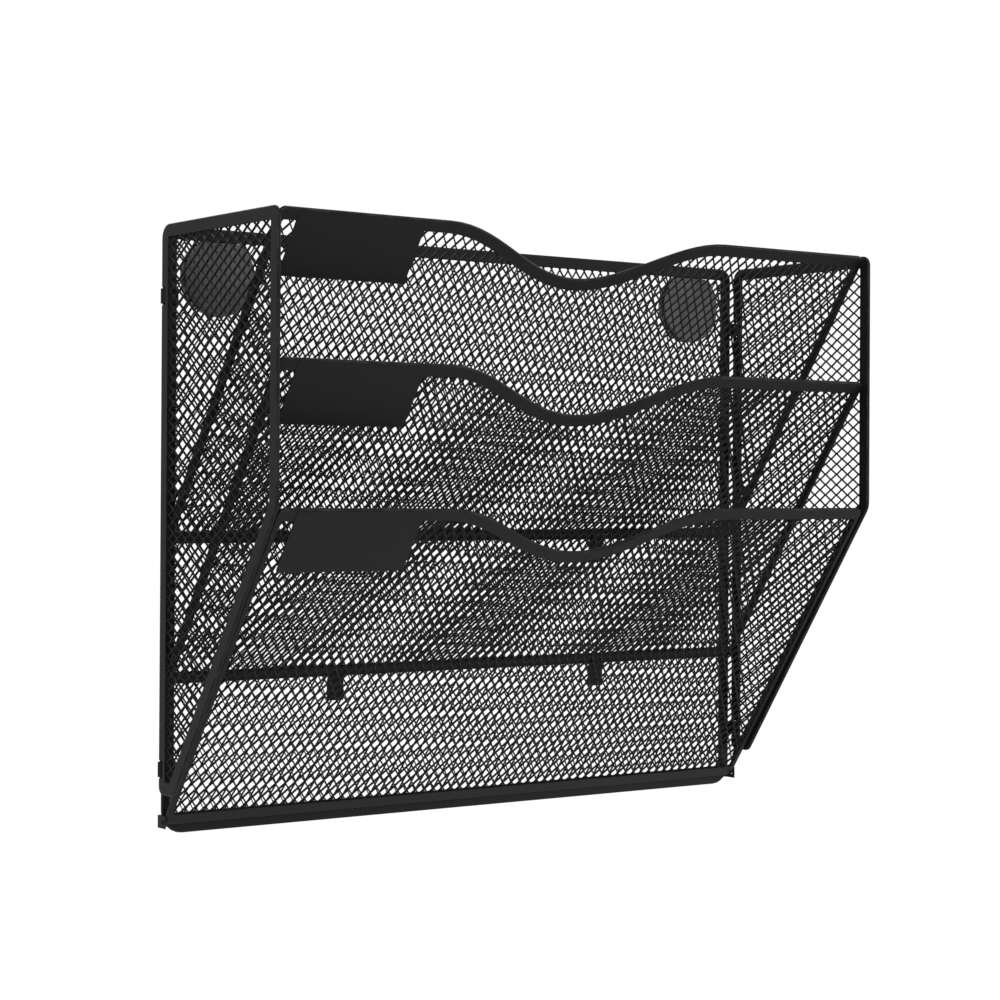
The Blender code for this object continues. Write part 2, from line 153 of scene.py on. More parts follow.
# %% Group: powder grain
def build_powder_grain():
    group, start, end = new_group(
        "powder_grain", [("Peel Scale", 900.0), ("Speck Scale", 4200.0), ("Speck Share", 0.3)],
        ["Height", "Drift"])
    place = group.nodes.new("ShaderNodeTexCoord").outputs["Object"]
    peel = noise(group, place, start.outputs["Peel Scale"], 3.0)
    speck = noise(group, place, start.outputs["Speck Scale"], 1.0)
    specks = calculate(group, "MULTIPLY", speck, start.outputs["Speck Share"])
    height = calculate(group, "ADD", peel, specks)
    group.links.new(height, end.inputs["Height"])
    drift = remap(group, noise(group, place, 14.0, 4.0), 0.3, 0.7)
    group.links.new(drift, end.inputs["Drift"])
    return group


powder_grain = build_powder_grain()
print("group", powder_grain.name, "outputs", [s.name for s in powder_grain.nodes[1].inputs if s.name])

# %% Group: rubbed edges
def build_edge_rub():
    """Wear where the mesh says that an edge is rounded, broken up by noise."""
    group, start, end = new_group("edge_rub", [("Amount", 0.5), ("Patch Scale", 160.0)], ["Mask"])
    edge = group.nodes.new("ShaderNodeAttribute")
    edge.attribute_name = "rubbed"
    place = group.nodes.new("ShaderNodeTexCoord").outputs["Object"]
    patches = remap(group, noise(group, place, start.outputs["Patch Scale"], 5.0), 0.42, 0.66)
    worn = calculate(group, "MULTIPLY", edge.outputs["Fac"], patches)
    group.links.new(calculate(group, "MULTIPLY", worn, start.outputs["Amount"]), end.inputs["Mask"])
    return group


edge_rub = build_edge_rub()
print("group", edge_rub.name)

# %% Group: settled dust
def build_settled_dust():
    """Dust on faces that point up, thicker in soft patches."""
    group, start, end = new_group("settled_dust", [("Amount", 0.3), ("Patch Scale", 40.0)], ["Mask"])
    facing = group.nodes.new("ShaderNodeNewGeometry")
    split = group.nodes.new("ShaderNodeSeparateXYZ")
    group.links.new(facing.outputs["Normal"], split.inputs["Vector"])
    upward = remap(group, split.outputs["Z"], 0.35, 1.0)
    place = group.nodes.new("ShaderNodeTexCoord").outputs["Object"]
    patches = remap(group, noise(group, place, start.outputs["Patch Scale"], 6.0), 0.3, 0.75, 0.25, 1.0)
    lying = calculate(group, "MULTIPLY", upward, patches)
    group.links.new(calculate(group, "MULTIPLY", lying, start.outputs["Amount"]), end.inputs["Mask"])
    return group


settled_dust = build_settled_dust()
print("group", settled_dust.name)

# %% [markdown]
# ## Black satin coat
#
# The hems, label plates, straps and clips share one baked black coat.  It is nearly black with
# a soft sheen, so almost all that is seen of it is a dim reflection.  The colour stays low and
# the roughness carries the look: it drifts over the panel, falls where an edge is rubbed and
# rises under dust.  The mesh has the same coat, a little thinner and duller, because wet
# powder does not flow on narrow strands.

# %% Helper: mix colours and build a coat
def mix_colours(tree, mask, plain, other):
    node = tree.nodes.new("ShaderNodeMix")
    node.data_type = "RGBA"
    tree.links.new(mask, node.inputs["Factor"])
    for socket, colour in ((node.inputs["A"], plain), (node.inputs["B"], other)):
        if isinstance(colour, bpy.types.NodeSocket):
            tree.links.new(colour, socket)
        else:
            socket.default_value = (*colour, 1.0)
    return node.outputs["Result"]


def place_group(tree, group, **values):
    node = tree.nodes.new("ShaderNodeGroup")
    node.node_tree = group
    for label, value in values.items():
        node.inputs[label.replace("_", " ")].default_value = value
    return node


def new_finish(name, metallic, specular):
    """Material with an empty Principled shader, and the bump that its heights go into."""
    material = bpy.data.materials.new(name)
    material.use_nodes = True
    tree = material.node_tree
    shader = tree.nodes["Principled BSDF"]
    shader.inputs["Metallic"].default_value = metallic
    shader.inputs["Specular IOR Level"].default_value = specular
    bump = tree.nodes.new("ShaderNodeBump")
    tree.links.new(bump.outputs["Normal"], shader.inputs["Normal"])
    return material, tree, shader, bump


def build_coat(name, dark, light, roughness, specular, peel_scale, bump_depth, rub, dust):
    material, tree, shader, bump = new_finish(name, 0.0, specular)
    grain = place_group(tree, powder_grain, Peel_Scale=peel_scale)
    rubbed = place_group(tree, edge_rub, Amount=rub)
    dusty = place_group(tree, settled_dust, Amount=dust)
    coat = mix_colours(tree, grain.outputs["Drift"], dark, light)
    bare = mix_colours(tree, rubbed.outputs["Mask"], coat, (0.05, 0.05, 0.05))
    colour = mix_colours(tree, dusty.outputs["Mask"], bare, (0.16, 0.155, 0.15))
    tree.links.new(colour, shader.inputs["Base Color"])
    low, high = roughness
    base = remap(tree, grain.outputs["Drift"], 0.0, 1.0, low, high)
    polished = calculate(tree, "MULTIPLY", rubbed.outputs["Mask"], -0.12)
    dulled = calculate(tree, "MULTIPLY", dusty.outputs["Mask"], 0.3)
    total = calculate(tree, "ADD", calculate(tree, "ADD", base, polished), dulled)
    tree.links.new(total, shader.inputs["Roughness"])
    bump.inputs["Strength"].default_value = 0.35
    bump.inputs["Distance"].default_value = bump_depth
    tree.links.new(grain.outputs["Height"], bump.inputs["Height"])
    return material


# %% Coat materials
satin_coat = build_coat("black_satin_coat", (0.0058, 0.0058, 0.006), (0.0085, 0.0085, 0.0088),
                        (0.34, 0.46), 0.2, 900.0, 0.05 * MM, 0.5, 0.10)
strand_coat = build_coat("black_strand_coat", (0.0055, 0.0055, 0.0058), (0.009, 0.009, 0.0092),
                         (0.42, 0.56), 0.2, 1500.0, 0.04 * MM, 0.0, 0.10)
print("coats:", satin_coat.name, strand_coat.name)

# %% [markdown]
# ## Magnet finishes
#
# A pot magnet is a pressed steel cup, plated a dull zinc grey, around a dark ceramic disc, with
# a thin rubber pad that keeps it from scratching the wall.  Plating shows fine scratches from
# handling.  Noise stretched along one direction makes them.  Pressed ceramic is matt and
# speckled, and rubber is matt with a fine grain.

# %% Plated steel
def build_zinc():
    material, tree, shader, bump = new_finish("dull_zinc_plate", 1.0, 0.5)
    place = tree.nodes.new("ShaderNodeTexCoord").outputs["Object"]
    mapping = tree.nodes.new("ShaderNodeMapping")
    mapping.inputs["Rotation"].default_value = (0.0, math.radians(33.0), 0.0)
    mapping.inputs["Scale"].default_value = (1.0, 1.0, 14.0)
    tree.links.new(place, mapping.inputs["Vector"])
    scratches = remap(tree, noise(tree, mapping.outputs["Vector"], 260.0, 6.0), 0.35, 0.7)
    clouds = remap(tree, noise(tree, place, 90.0, 4.0), 0.3, 0.7)
    colour = mix_colours(tree, clouds, (0.1, 0.101, 0.105), (0.15, 0.151, 0.157))
    tree.links.new(colour, shader.inputs["Base Color"])
    tree.links.new(remap(tree, scratches, 0.0, 1.0, 0.34, 0.55), shader.inputs["Roughness"])
    bump.inputs["Strength"].default_value = 0.2
    bump.inputs["Distance"].default_value = 0.02 * MM
    tree.links.new(scratches, bump.inputs["Height"])
    return material


def build_matt(name, dark, light, roughness, grain_scale, depth):
    material, tree, shader, bump = new_finish(name, 0.0, 0.3)
    place = tree.nodes.new("ShaderNodeTexCoord").outputs["Object"]
    grain = noise(tree, place, grain_scale, 3.0)
    clouds = remap(tree, noise(tree, place, 120.0, 4.0), 0.3, 0.7)
    speckle = remap(tree, grain, 0.4, 0.65)
    colour = mix_colours(tree, calculate(tree, "MULTIPLY", clouds, speckle), dark, light)
    tree.links.new(colour, shader.inputs["Base Color"])
    low, high = roughness
    tree.links.new(remap(tree, clouds, 0.0, 1.0, low, high), shader.inputs["Roughness"])
    bump.inputs["Strength"].default_value = 0.4
    bump.inputs["Distance"].default_value = depth
    tree.links.new(grain, bump.inputs["Height"])
    return material


zinc = build_zinc()
ceramic = build_matt("pressed_ceramic", (0.03, 0.03, 0.032), (0.06, 0.06, 0.062), (0.5, 0.68),
                     2600.0, 0.03 * MM)
rubber = build_matt("black_rubber", (0.012, 0.012, 0.012), (0.026, 0.026, 0.026), (0.68, 0.85),
                    3400.0, 0.04 * MM)
print("magnet finishes:", zinc.name, ceramic.name, rubber.name)

# %% [markdown]
# ## Taking a working copy of a measured piece
#
# The measured pieces arrive as loose triangles.  Welding the doubles and dissolving the edges
# between level faces gives back clean faces, and only then can an edge be rounded.  A finished
# mesh is put on an object that stands at the origin, rides on its body and replaces the
# measured piece, which goes on working unseen in the mechanism.

# %% Helper: working copies and finished pieces
def working_copy(node, split=None):
    """Editable copy of a measured piece.  A ring is split at a plane, so no face has a hole."""
    shape = bmesh.new()
    shape.from_mesh(nodes[node].data)
    bmesh.ops.remove_doubles(shape, verts=shape.verts, dist=MERGE)
    if split:
        everything = shape.verts[:] + shape.edges[:] + shape.faces[:]
        cut = bmesh.ops.bisect_plane(shape, geom=everything, dist=MERGE,
                                     plane_co=split[0], plane_no=split[1])
        for item in cut["geom_cut"]:
            if isinstance(item, bmesh.types.BMEdge):
                item.seam = True
    bmesh.ops.dissolve_limit(shape, angle_limit=math.radians(1.0), verts=shape.verts,
                             edges=shape.edges, delimit={"SEAM"})
    bmesh.ops.recalc_face_normals(shape, faces=shape.faces)
    shape.normal_update()
    return shape


def finish_piece(name, mesh, material, body, slot, *replaced):
    piece = bpy.data.objects.new(name, mesh)
    scene.collection.objects.link(piece)
    mesh.materials.clear()
    mesh.materials.append(material)
    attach(piece, body)
    if replaced:
        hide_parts(*replaced)
    return piece


def to_mesh(name, shape):
    """Plain mesh from a working shape, with its shading weighted towards the big faces."""
    mesh = bpy.data.meshes.new(name)
    shape.to_mesh(mesh)
    shape.free()
    mesh.shade_smooth()
    mesh.set_sharp_from_angle(angle=math.radians(50.0))
    holder = bpy.data.objects.new(name, mesh)
    scene.collection.objects.link(holder)
    weighted = holder.modifiers.new("weighted normals", "WEIGHTED_NORMAL")
    weighted.keep_sharp = True
    graph = bpy.context.evaluated_depsgraph_get()
    result = bpy.data.meshes.new_from_object(holder.evaluated_get(graph))
    bpy.data.objects.remove(holder, do_unlink=True)
    bpy.data.meshes.remove(mesh)
    result.name = name
    return result


# %% [markdown]
# Every panel is flat, so each has three directions of its own: across the diamonds, along
# them, and out of the sheet.  The sheet's largest face gives the outward direction.  The
# diamonds lie with their short way level on the back and the pockets, and upright on the sides.

# %% Helper: a panel's own directions
def panel_place(panel):
    """Matrix from a panel's own flat coordinates to the rack's."""
    mesh = nodes[f"{panel}_mesh"].data
    out = max(mesh.polygons, key=lambda face: face.area).normal.copy()
    across = Vector((0, 0, 1)) if abs(out.x) > 0.9 else Vector((1, 0, 0))
    along = out.cross(across)
    low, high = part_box(f"{panel}_mesh")
    centre = (Vector(low) + Vector(high)) / 2
    turned = Matrix((across, along, out)).transposed().to_4x4()
    return Matrix.Translation(centre) @ turned


PLACES = {panel: panel_place(panel) for panel in PANELS}
for panel, place in PLACES.items():
    print(panel, "faces", tuple(round(value, 3) for value in place.col[2][:3]))

# %% [markdown]
# ## Diamond mesh
#
# Expanded mesh is one sheet of steel, slit and pulled open, so its strands meet in wide
# knuckles and nothing crosses over.  It is the main surface of the rack and follows a rule, so
# Geometry Nodes make it: a grid turned by an eighth of a turn and squashed gives the diamonds,
# each face is inset and opened, and the strips that are left get their thickness.  Pulling the
# sheet open turns its strands on edge, so they are thin across the sheet's face and thick out of
# it, and the holes are a little blunt at their knuckles.  Raising the middle of every strand
# rounds it.  Last, the sheet is trimmed to the panel's outline, a little under the hem.  All
# the sizes are inputs, and one tree makes all six sheets.

# %% Helper: short ways to add geometry nodes
def add_node(tree, kind, links=None, **settings):
    node = tree.nodes.new(kind)
    for name, value in settings.items():
        setattr(node, name, value)
    for label, value in (links or {}).items():
        socket = node.inputs[label]
        if isinstance(value, bpy.types.NodeSocket):
            tree.links.new(value, socket)
        else:
            socket.default_value = value
    return node


def combine(tree, x, y, z):
    return add_node(tree, "ShaderNodeCombineXYZ", {"X": x, "Y": y, "Z": z}).outputs["Vector"]


# %% Tree part 1: a flat net of diamonds
def diamond_net(tree, sizes, trim):
    """Grid turned by an eighth and squashed, with the faces outside the trimming box removed."""
    box = add_node(tree, "GeometryNodeBoundBox", {"Geometry": trim})
    low = add_node(tree, "ShaderNodeSeparateXYZ", {"Vector": box.outputs["Min"]}).outputs
    high = add_node(tree, "ShaderNodeSeparateXYZ", {"Vector": box.outputs["Max"]}).outputs
    width, height = sizes["Diamond Width"], sizes["Diamond Height"]
    columns = calculate(tree, "DIVIDE", calculate(tree, "SUBTRACT", high["X"], low["X"]), width)
    rows = calculate(tree, "DIVIDE", calculate(tree, "SUBTRACT", high["Y"], low["Y"]), height)
    cells = calculate(tree, "CEIL", calculate(tree, "ADD", columns, rows))
    pairs = calculate(tree, "CEIL", calculate(tree, "DIVIDE", cells, 2.0))
    even = calculate(tree, "MULTIPLY", pairs, 2.0)
    span = calculate(tree, "ADD", even, 4.0)
    points = calculate(tree, "ADD", span, 1.0)
    grid = add_node(tree, "GeometryNodeMeshGrid", {"Size X": span, "Size Y": span,
                                                   "Vertices X": points, "Vertices Y": points})
    turned = add_node(tree, "GeometryNodeTransform", {"Geometry": grid.outputs["Mesh"],
                                                      "Rotation": (0.0, 0.0, math.pi / 4)})
    squash = combine(tree, calculate(tree, "DIVIDE", width, math.sqrt(2)),
                     calculate(tree, "DIVIDE", height, math.sqrt(2)), 1.0)
    net = add_node(tree, "GeometryNodeTransform", {"Geometry": turned.outputs["Geometry"],
                                                   "Scale": squash})
    place = add_node(tree, "GeometryNodeInputPosition").outputs["Position"]
    here = add_node(tree, "ShaderNodeSeparateXYZ", {"Vector": place}).outputs
    outside = None
    for label, margin in (("X", width), ("Y", height)):
        lowest = calculate(tree, "SUBTRACT", low[label], margin)
        highest = calculate(tree, "ADD", high[label], margin)
        beyond_low = calculate(tree, "LESS_THAN", here[label], lowest)
        beyond_high = calculate(tree, "GREATER_THAN", here[label], highest)
        beyond = calculate(tree, "MAXIMUM", beyond_low, beyond_high)
        outside = beyond if outside is None else calculate(tree, "MAXIMUM", outside, beyond)
    kept = add_node(tree, "GeometryNodeDeleteGeometry",
                    {"Geometry": net.outputs["Geometry"], "Selection": outside}, domain="FACE")
    return kept.outputs["Geometry"]


# %% Tree part 2: open the diamonds and give the strands their section
def open_strands(tree, sizes, net):
    """Inset and open every face, thicken what is left, and raise the middle of each strand."""
    width, height = sizes["Diamond Width"], sizes["Diamond Height"]
    uneven = add_node(tree, "FunctionNodeRandomValue", {"Seed": sizes["Seed"]}, data_type="FLOAT_VECTOR")
    shake = sizes["Unevenness"]
    back = calculate(tree, "MULTIPLY", shake, -1.0)
    low = combine(tree, back, back, 0.0)
    high = combine(tree, shake, shake, 0.0)
    tree.links.new(low, uneven.inputs[0])
    tree.links.new(high, uneven.inputs[1])
    shaken = add_node(tree, "GeometryNodeSetPosition", {"Geometry": net, "Offset": uneven.outputs[0]})
    marked = add_node(tree, "GeometryNodeStoreNamedAttribute",
                      {"Geometry": shaken.outputs["Geometry"], "Name": "knuckle", "Value": 1.0},
                      data_type="FLOAT", domain="POINT")
    inset = add_node(tree, "GeometryNodeExtrudeMesh",
                     {"Mesh": marked.outputs["Geometry"], "Offset Scale": 0.0, "Individual": True},
                     mode="FACES")
    side = calculate(tree, "SQRT", calculate(tree, "ADD", calculate(tree, "MULTIPLY", width, width),
                                             calculate(tree, "MULTIPLY", height, height)))
    inradius = calculate(tree, "DIVIDE", calculate(tree, "MULTIPLY", width, height),
                         calculate(tree, "MULTIPLY", side, 2.0))
    half = calculate(tree, "DIVIDE", sizes["Strand Width"], 2.0)
    factor = calculate(tree, "SUBTRACT", 1.0, calculate(tree, "DIVIDE", half, inradius))
    shrunk = add_node(tree, "GeometryNodeScaleElements",
                      {"Geometry": inset.outputs["Mesh"], "Selection": inset.outputs["Top"], "Scale": factor},
                      domain="FACE")
    blunt = calculate(tree, "SUBTRACT", 1.0, calculate(tree, "DIVIDE", sizes["Knuckle Length"], height))
    blunted = add_node(tree, "GeometryNodeScaleElements",
                       {"Geometry": shrunk.outputs["Geometry"], "Selection": inset.outputs["Top"],
                        "Scale": blunt, "Axis": (0.0, 1.0, 0.0)}, domain="FACE", scale_mode="SINGLE_AXIS")
    hole = add_node(tree, "GeometryNodeStoreNamedAttribute",
                    {"Geometry": blunted.outputs["Geometry"], "Selection": inset.outputs["Top"],
                     "Name": "knuckle", "Value": 0.0}, data_type="FLOAT", domain="POINT")
    opened = add_node(tree, "GeometryNodeDeleteGeometry",
                      {"Geometry": hole.outputs["Geometry"], "Selection": inset.outputs["Top"]},
                      domain="FACE")
    edge = sizes["Edge Thickness"]
    lowered = add_node(tree, "GeometryNodeTransform",
                       {"Geometry": opened.outputs["Geometry"],
                        "Translation": combine(tree, 0.0, 0.0, calculate(tree, "MULTIPLY", edge, -0.5))})
    raised = add_node(tree, "GeometryNodeExtrudeMesh",
                      {"Mesh": lowered.outputs["Geometry"], "Offset": (0.0, 0.0, 1.0), "Offset Scale": edge,
                       "Individual": False}, mode="FACES")
    underside = add_node(tree, "GeometryNodeFlipFaces", {"Mesh": lowered.outputs["Geometry"]})
    both = add_node(tree, "GeometryNodeJoinGeometry")
    tree.links.new(raised.outputs["Mesh"], both.inputs["Geometry"])
    tree.links.new(underside.outputs["Mesh"], both.inputs["Geometry"])
    closed = add_node(tree, "GeometryNodeMergeByDistance",
                      {"Geometry": both.outputs["Geometry"], "Distance": MERGE})
    return crown_strands(tree, sizes, closed.outputs["Geometry"])


def crown_strands(tree, sizes, strands):
    """Push the knuckle points outwards on both faces, which rounds the strands between them."""
    place = add_node(tree, "GeometryNodeInputPosition").outputs["Position"]
    height = add_node(tree, "ShaderNodeSeparateXYZ", {"Vector": place}).outputs["Z"]
    sign = calculate(tree, "SIGN", height)
    knuckle = add_node(tree, "GeometryNodeInputNamedAttribute", {"Name": "knuckle"}, data_type="FLOAT")
    lift = calculate(tree, "MULTIPLY", calculate(tree, "MULTIPLY", sign, sizes["Crown"]),
                     knuckle.outputs["Attribute"])
    crowned = add_node(tree, "GeometryNodeSetPosition",
                       {"Geometry": strands, "Offset": combine(tree, 0.0, 0.0, lift)})
    return crowned.outputs["Geometry"]


# %% Tree: the whole sheet
LATTICE_INPUTS = (("Diamond Width", 5.03 * MM), ("Diamond Height", 7.58 * MM), ("Strand Width", 0.27 * MM),
                  ("Knuckle Length", 0.55 * MM), ("Edge Thickness", 0.94 * MM), ("Crown", 0.05 * MM),
                  ("Unevenness", 0.05 * MM))


def build_lattice_tree():
    tree = bpy.data.node_groups.new("diamond_lattice", "GeometryNodeTree")
    face = tree.interface
    face.new_socket("Geometry", in_out="INPUT", socket_type="NodeSocketGeometry")
    for label, value in LATTICE_INPUTS:
        socket = face.new_socket(label, in_out="INPUT", socket_type="NodeSocketFloat")
        socket.default_value = value
        socket.subtype = "DISTANCE"
    face.new_socket("Seed", in_out="INPUT", socket_type="NodeSocketInt")
    face.new_socket("Coat", in_out="INPUT", socket_type="NodeSocketMaterial")
    face.new_socket("Geometry", in_out="OUTPUT", socket_type="NodeSocketGeometry")
    start = tree.nodes.new("NodeGroupInput")
    end = tree.nodes.new("NodeGroupOutput")
    trim = start.outputs["Geometry"]
    strands = open_strands(tree, start.outputs, diamond_net(tree, start.outputs, trim))
    trimmed = add_node(tree, "GeometryNodeMeshBoolean", operation="INTERSECT", solver="MANIFOLD")
    tree.links.new(strands, trimmed.inputs["Mesh 2"])
    tree.links.new(trim, trimmed.inputs["Mesh 2"])
    real = add_node(tree, "GeometryNodeRealizeInstances", {"Geometry": trimmed.outputs["Mesh"]})
    coated = add_node(tree, "GeometryNodeSetMaterial",
                      {"Geometry": real.outputs["Geometry"], "Material": start.outputs["Coat"]})
    tree.links.new(coated.outputs["Geometry"], end.inputs["Geometry"])
    return tree


lattice_tree = build_lattice_tree()
print("tree", lattice_tree.name, "with", len(lattice_tree.nodes), "nodes")

# %% [markdown]
# The trimming block is the measured sheet, grown on every side so that the strands run on
# under the hem.  It stays short of the hinge notches, where the hem is narrow.  The tree reads
# the block as its input, the result is copied to a plain mesh, and the block is thrown away.

# %% Make the six sheets
UNDER_HEM = 1.4 * MM


def grown_block(panel):
    """The measured sheet in its own flat coordinates, thickened and grown on every side."""
    shape = working_copy(f"{panel}_mesh")
    bmesh.ops.transform(shape, matrix=PLACES[panel].inverted(), verts=shape.verts)
    bmesh.ops.recalc_face_normals(shape, faces=shape.faces)
    shape.normal_update()
    shifts = [point.normal * UNDER_HEM * point.calc_shell_factor() for point in shape.verts]
    for point, shift in zip(shape.verts, shifts):
        point.co += shift
    mesh = bpy.data.meshes.new(f"{panel}_trim")
    shape.to_mesh(mesh)
    shape.free()
    return mesh


def lattice_sheet(panel, seed):
    block = bpy.data.objects.new(f"{panel}_trim", grown_block(panel))
    scene.collection.objects.link(block)
    maker = block.modifiers.new("diamonds", "NODES")
    maker.node_group = lattice_tree
    inputs = {item.name: item.identifier for item in lattice_tree.interface.items_tree
              if item.in_out == "INPUT"}
    for label, value in LATTICE_INPUTS:
        maker[inputs[label]] = value
    maker[inputs["Seed"]] = seed
    maker[inputs["Coat"]] = strand_coat
    graph = bpy.context.evaluated_depsgraph_get()
    mesh = bpy.data.meshes.new_from_object(block.evaluated_get(graph))
    bpy.data.objects.remove(block, do_unlink=True)
    mesh.transform(PLACES[panel])
    mesh.shade_smooth()
    mesh.set_sharp_from_angle(angle=math.radians(80.0))
    return mesh


for seed, (panel, body) in enumerate(PANELS.items(), start=1):
    sheet = lattice_sheet(panel, seed)
    finish_piece(f"{panel}_diamonds", sheet, strand_coat, body, "mesh_coat", f"{panel}_mesh")
    print(panel, "sheet:", sum(len(face.vertices) - 2 for face in sheet.polygons), "triangles")

# %% [markdown]
# ## Folded hems
#
# Each sheet's raw edge is closed in a strip of thin steel folded over it, so a hem has a round
# fold outside and two thin lips inside.  Sweeping a section round the outline would do it, but
# the measured frames already have the hinge notches and rods.  So a copy of each frame is kept
# and its long edges are rounded: widely along the fold, and slightly along the lips.  The
# distance from the sheet tells which edge is which.  The rounded points are marked, and the
# coat's rub follows the marks.

# %% Helper: round chosen edges and mark them
def round_edges(shape, edges, radius, segments):
    """Bevel edges and mark the points inside each rounding as rubbed."""
    made = bmesh.ops.bevel(shape, geom=edges, offset=radius, offset_type="OFFSET", segments=segments,
                           profile=0.5, affect="EDGES", clamp_overlap=False)
    rounded = set(made["faces"])
    rub = shape.verts.layers.float.get("rubbed") or shape.verts.layers.float.new("rubbed")
    for face in made["faces"]:
        for point in face.verts:
            if all(other in rounded for other in point.link_faces):
                point[rub] = 1.0


# %% Make the six hems
FOLD_RADIUS = 0.7 * MM
FOLD_REACH = (2.0 * MM, 9.0 * MM)
LIP_RADIUS = 0.22 * MM
LIP_REACH = (0.0, 1.2 * MM)
FLANGE_RADIUS = 0.35 * MM
HALF_HEM = 0.9 * MM
FLANGE_REAR = 2.7 * MM
FLANGE_STRIP = 158.0 * MM
SPLIT_OFFSET = 11.3 * MM
LEVEL = 0.03 * MM


def on_flange_strip(panel, ends):
    """Whether an edge lies on the rear of a pocket's side strip, where its flange stands."""
    return panel.startswith("pocket") and all(
        end.z < 0 and abs(end.x) > FLANGE_STRIP for end in ends)


def hem_edges(shape, panel, nearest, furthest):
    """Edges between a hem's flat faces and its sides, by their distance from the sheet."""
    sheet = working_copy(f"{panel}_mesh")
    tree = BVHTree.FromBMesh(sheet)
    sheet.free()
    to_flat = PLACES[panel].inverted()
    chosen = []
    for edge in shape.edges:
        if edge.calc_face_angle(0.0) < math.radians(60.0):
            continue
        ends = [to_flat @ point.co for point in edge.verts]
        if any(abs(abs(end.z) - HALF_HEM) > LEVEL for end in ends):
            continue
        if on_flange_strip(panel, ends):
            continue
        middle = (edge.verts[0].co + edge.verts[1].co) / 2
        distance = tree.find_nearest(middle)[3]
        if nearest <= distance <= furthest:
            chosen.append(edge)
    return chosen


def flange_edges(shape, panel):
    """The rear edges of a pocket's two side flanges."""
    to_flat = PLACES[panel].inverted()
    return [edge for edge in shape.edges if edge.calc_face_angle(0.0) > math.radians(60.0)
            and all((to_flat @ point.co).z < LEVEL - FLANGE_REAR for point in edge.verts)]


for panel, body in PANELS.items():
    across = PLACES[panel].col[0].to_3d()
    hem = working_copy(f"{panel}_frame", (PLACES[panel].translation + across * SPLIT_OFFSET, across))
    lips = hem_edges(hem, panel, *LIP_REACH)
    round_edges(hem, lips, LIP_RADIUS, 2)
    folds = hem_edges(hem, panel, *FOLD_REACH)
    round_edges(hem, folds, FOLD_RADIUS, 4)
    round_edges(hem, flange_edges(hem, panel), FLANGE_RADIUS, 3)
    piece = finish_piece(f"{panel}_hem", to_mesh(f"{panel}_hem", hem), satin_coat, body,
                         "black_coat", f"{panel}_frame")
    print(panel, "hem:", len(lips), "lip edges,", len(folds), "fold edges,",
          len(piece.data.polygons), "faces")

# %% [markdown]
# ## Label plates
#
# A plain plate for a label hangs from the left end of each rim.  Its upper edge is caught in
# the fold of the hem, so no light shows between them.  The copy's upper edge is moved up into
# the hem, and its other edges are softened as punched and coated steel is.

# %% Helper: soften a thin piece
def sharp_edges(shape, least=50.0):
    return [edge for edge in shape.edges if edge.calc_face_angle(0.0) > math.radians(least)]


# %% Make the label plates
INTO_HEM = 5.0 * MM
UPPER_BAND = 0.5 * MM
PLATE_EDGE = 0.12 * MM

for tier in TIERS:
    plate = working_copy(f"label_plate_{tier}")
    to_flat = PLACES[f"pocket_{tier}"].inverted()
    heights = {point: (to_flat @ point.co).y for point in plate.verts}
    up = 1.0 if PLACES[f"pocket_{tier}"].col[1].z > 0 else -1.0
    upper = max(up * height for height in heights.values())
    along = PLACES[f"pocket_{tier}"].col[1].to_3d() * up
    for point, height in heights.items():
        if up * height > upper - UPPER_BAND:
            point.co += along * INTO_HEM
    round_edges(plate, sharp_edges(plate), PLATE_EDGE, 2)
    mesh = to_mesh(f"label_{tier}", plate)
    finish_piece(f"label_{tier}", mesh, satin_coat, f"pocket_{tier}", "black_coat", f"label_plate_{tier}")
    print("label plate", tier, len(mesh.polygons), "faces")

# %% [markdown]
# ## Straps, clips and ears
#
# These small bent strips hold the panels: straps curl round the upper pockets' rods, clips round
# the sides' rods, and the lowest pocket's rod ends turn in two ears.  Their shape is right in the
# measured model, so a copy is only softened along its cut edges.

# %% Make the strips
STRIP_EDGE = 0.1 * MM


def soften_strip(node, body):
    shape = working_copy(node)
    round_edges(shape, sharp_edges(shape), STRIP_EDGE, 2)
    mesh = to_mesh(f"{node}_strip", shape)
    finish_piece(f"{node}_strip", mesh, satin_coat, body, "black_coat", node)
    return len(mesh.polygons)


strips = 0
for node in nodes:
    if node.startswith(("strap_", "hinge_clip_", "hinge_ear_")):
        strips += soften_strip(node, "back")
print("strips:", strips, "faces")

# %% [markdown]
# ## Magnets
#
# Each magnet is turned from a profile, as on a lathe: a half section is drawn once and spun
# round the magnet's axis.  The cup has a rounded shoulder and a rolled lip, the ceramic disc a
# small chamfer, and the pad a soft edge.  The sizes come from the measured pieces' boxes.  The
# cap in front of the mesh is cut flat below the hem, so it is not turned again: a copy of the
# measured one is rounded along its front edge.

# %% Helper: turn a profile
TURNED_STEPS = 96


def turned(name, profile, centre):
    """Closed turned mesh: profile points are (radius, distance in front of the wall)."""
    shape = bmesh.new()
    points = [shape.verts.new((radius, -front, 0.0)) for radius, front in profile]
    rim = [shape.edges.new(pair) for pair in zip(points, points[1:])]
    bmesh.ops.spin(shape, geom=points + rim, cent=(0, 0, 0), axis=(0, 1, 0), angle=math.tau,
                   steps=TURNED_STEPS, use_merge=True)
    bmesh.ops.remove_doubles(shape, verts=shape.verts, dist=MERGE)
    bmesh.ops.recalc_face_normals(shape, faces=shape.faces)
    bmesh.ops.translate(shape, verts=shape.verts, vec=(centre.x, 0.0, centre.z))
    return to_mesh(name, shape)


def quarter(centre, radius, start, steps=4):
    """Points of a quarter circle in a profile, from a start angle, turning clockwise."""
    points = []
    for step in range(steps + 1):
        angle = math.radians(start) - math.pi / 2 * step / steps
        points.append((centre[0] + radius * math.cos(angle), centre[1] + radius * math.sin(angle)))
    return points


# %% Make the magnets
CAP_EDGE = 0.35 * MM


